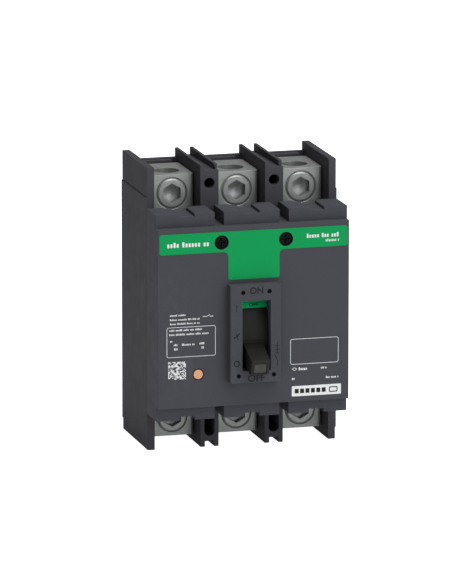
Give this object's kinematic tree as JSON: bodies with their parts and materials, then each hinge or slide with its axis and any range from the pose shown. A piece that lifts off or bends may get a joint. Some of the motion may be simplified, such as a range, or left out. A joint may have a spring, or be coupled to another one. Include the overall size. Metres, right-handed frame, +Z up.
{
  "type": "molded case circuit breaker",
  "caption": "Molded case circuit breaker with a toggle handle, box lugs at both ends, a push-to-trip button and its switching mechanism inside.",
  "frame": {"origin": "centre of the flat back face that lies on the mounting panel, midway in width and height", "axes": "+X to the right seen from the front, +Y into the panel, so the front faces -Y, +Z up towards the line terminals"},
  "size_m": [0.1144, 0.0993, 0.167],
  "materials": {
    "base_plastic": "fine moulded grain",
    "cover_plastic": "fine moulded grain",
    "label_green": "satin printed film",
    "black_screw": "black oxide",
    "zinc_steel": "zinc plated",
    "lug_aluminium": "tin plated, satin",
    "copper": "tin-free copper, dull",
    "plain_steel": "rolled sheet",
    "silver_contact": "silver alloy",
    "fibre_board": "pressed fibre",
    "handle_plastic": "satin",
    "spring_steel": "drawn wire",
    "crossbar_phenolic": "moulded phenolic",
    "trip_bar_plastic": "moulded",
    "brass": "turned",
    "bimetal_strip": "rolled strip",
    "braid_copper": "woven braid",
    "button_plastic": "satin"
  },
  "bodies": {
    "housing": {"base_housing": "base_plastic", "front_cover": "cover_plastic", "face_label": "label_green", "cover_screws": "black_screw", "rear_screws": "zinc_steel", "line_lug_1": "lug_aluminium", "line_lug_2": "lug_aluminium", "line_lug_3": "lug_aluminium", "load_lug_1": "lug_aluminium", "load_lug_2": "lug_aluminium", "load_lug_3": "lug_aluminium", "lug_bolts": "zinc_steel", "line_conductor_1": "copper", "line_conductor_2": "copper", "line_conductor_3": "copper", "fixed_contacts": "silver_contact", "load_conductor_1": "copper", "load_conductor_2": "copper", "load_conductor_3": "copper", "arc_plates_1": "plain_steel", "arc_plates_2": "plain_steel", "arc_plates_3": "plain_steel", "arc_walls": "fibre_board", "mechanism_frame_left": "plain_steel", "mechanism_frame_right": "plain_steel", "frame_rods": "zinc_steel", "trip_bar_spring": "spring_steel", "bimetals": "bimetal_strip", "magnet_yokes": "plain_steel", "armature_springs": "spring_steel", "flexible_braids": "braid_copper", "button_spring": "spring_steel"},
    "handle": {"toggle_handle": "handle_plastic", "off_flag": "label_green", "handle_yoke": "plain_steel"},
    "handle_springs": {"toggle_springs": "spring_steel"},
    "cradle": {"cradle": "plain_steel"},
    "upper_link": {"upper_link": "plain_steel", "knee_pin": "zinc_steel"},
    "lower_link": {"lower_link": "plain_steel"},
    "crossbar": {"crossbar": "crossbar_phenolic", "arm_pins": "zinc_steel", "contact_springs": "spring_steel"},
    "latch": {"latch": "plain_steel"},
    "trip_bar": {"trip_bar": "trip_bar_plastic", "calibration_screws": "brass"},
    "trip_button": {"trip_button": "button_plastic"},
    "contact_arm_1": {"contact_arm_1": "copper"},
    "contact_arm_2": {"contact_arm_2": "copper"},
    "contact_arm_3": {"contact_arm_3": "copper"},
    "armature_1": {"armature_1": "plain_steel"},
    "armature_2": {"armature_2": "plain_steel"},
    "armature_3": {"armature_3": "plain_steel"},
    "line_screw_1": {"line_screw_1": "lug_aluminium"},
    "line_screw_2": {"line_screw_2": "lug_aluminium"},
    "line_screw_3": {"line_screw_3": "lug_aluminium"},
    "load_screw_1": {"load_screw_1": "lug_aluminium"},
    "load_screw_2": {"load_screw_2": "lug_aluminium"},
    "load_screw_3": {"load_screw_3": "lug_aluminium"}
  },
  "joints": [
    {"name": "handle_swing", "type": "hinge", "parent": "housing", "child": "handle", "pos_m": [0, -0.046, -0.01265], "axis": [-1, 0, 0], "range_deg": [0, 35], "deforming": ["flexible_braids"]},
    {"name": "spring_follow", "type": "hinge", "parent": "handle", "child": "handle_springs", "pos_m": [0, -0.07413, -0.02152], "axis": [1, 0, 0], "range_deg": [0, 22.6]},
    {"name": "crossbar_turn", "type": "hinge", "parent": "housing", "child": "crossbar", "pos_m": [0, -0.02, -0.008], "axis": [-1, 0, 0], "range_deg": [0, 30.01]},
    {"name": "upper_link_turn", "type": "hinge", "parent": "housing", "child": "upper_link", "pos_m": [0, -0.0515, 0.005], "axis": [1, 0, 0], "range_deg": [0, 52.3]},
    {"name": "lower_link_turn", "type": "hinge", "parent": "upper_link", "child": "lower_link", "pos_m": [0, -0.04253, -0.00509], "axis": [-1, 0, 0], "range_deg": [0, 82.9]},
    {"name": "cradle_trip", "type": "hinge", "parent": "housing", "child": "cradle", "pos_m": [0, -0.042, 0.018], "axis": [-1, 0, 0], "range_deg": [0, 20]},
    {"name": "button_press", "type": "slide", "parent": "housing", "child": "trip_button", "axis": [0, 1, 0], "range_m": [0, 0.0025], "stiffness_N_per_m": 100, "deforming": ["button_spring"]},
    {"name": "trip_bar_turn", "type": "hinge", "parent": "housing", "child": "trip_bar", "pos_m": [0, -0.046, -0.043], "axis": [-1, 0, 0], "range_deg": [0, 18.01]},
    {"name": "latch_turn", "type": "hinge", "parent": "housing", "child": "latch", "pos_m": [0, -0.044, -0.033], "axis": [1, 0, 0], "range_deg": [0, 9.01]},
    {"name": "contact_arm_1_give", "type": "hinge", "parent": "crossbar", "child": "contact_arm_1", "pos_m": [-0.0387, -0.02, -0.008], "axis": [1, 0, 0], "range_deg": [0, 2], "stiffness_Nm_per_rad": 0.5},
    {"name": "contact_arm_2_give", "type": "hinge", "parent": "crossbar", "child": "contact_arm_2", "pos_m": [0, -0.02, -0.008], "axis": [1, 0, 0], "range_deg": [0, 2], "stiffness_Nm_per_rad": 0.5},
    {"name": "contact_arm_3_give", "type": "hinge", "parent": "crossbar", "child": "contact_arm_3", "pos_m": [0.0387, -0.02, -0.008], "axis": [1, 0, 0], "range_deg": [0, 2], "stiffness_Nm_per_rad": 0.5},
    {"name": "armature_1_pull", "type": "hinge", "parent": "housing", "child": "armature_1", "pos_m": [-0.0387, -0.018, -0.0357], "axis": [1, 0, 0], "range_deg": [0, 4], "stiffness_Nm_per_rad": 0.01},
    {"name": "armature_2_pull", "type": "hinge", "parent": "housing", "child": "armature_2", "pos_m": [0, -0.018, -0.0357], "axis": [1, 0, 0], "range_deg": [0, 4], "stiffness_Nm_per_rad": 0.01},
    {"name": "armature_3_pull", "type": "hinge", "parent": "housing", "child": "armature_3", "pos_m": [0.0387, -0.018, -0.0357], "axis": [1, 0, 0], "range_deg": [0, 4], "stiffness_Nm_per_rad": 0.01},
    {"name": "line_screw_1_travel", "type": "slide", "parent": "housing", "child": "line_screw_1", "axis": [0, 1, 0], "range_m": [0, 0.0035]},
    {"name": "line_screw_2_travel", "type": "slide", "parent": "housing", "child": "line_screw_2", "axis": [0, 1, 0], "range_m": [0, 0.0035]},
    {"name": "line_screw_3_travel", "type": "slide", "parent": "housing", "child": "line_screw_3", "axis": [0, 1, 0], "range_m": [0, 0.0035]},
    {"name": "load_screw_1_travel", "type": "slide", "parent": "housing", "child": "load_screw_1", "axis": [0, 1, 0], "range_m": [0, 0.0035]},
    {"name": "load_screw_2_travel", "type": "slide", "parent": "housing", "child": "load_screw_2", "axis": [0, 1, 0], "range_m": [0, 0.0035]},
    {"name": "load_screw_3_travel", "type": "slide", "parent": "housing", "child": "load_screw_3", "axis": [0, 1, 0], "range_m": [0, 0.0035]}
  ],
  "couplings": [
    {"joint": "spring_follow", "follows": "handle_swing", "ratio": 0.64504},
    {"joint": "crossbar_turn", "follows": "handle_swing", "ratio": 0.85714},
    {"joint": "upper_link_turn", "follows": "handle_swing", "ratio": 1.4937},
    {"joint": "lower_link_turn", "follows": "handle_swing", "ratio": 2.3678},
    {"joint": "trip_bar_turn", "follows": "button_press", "rad_per_m": 125.66},
    {"joint": "latch_turn", "follows": "button_press", "rad_per_m": 62.832}
  ]
}
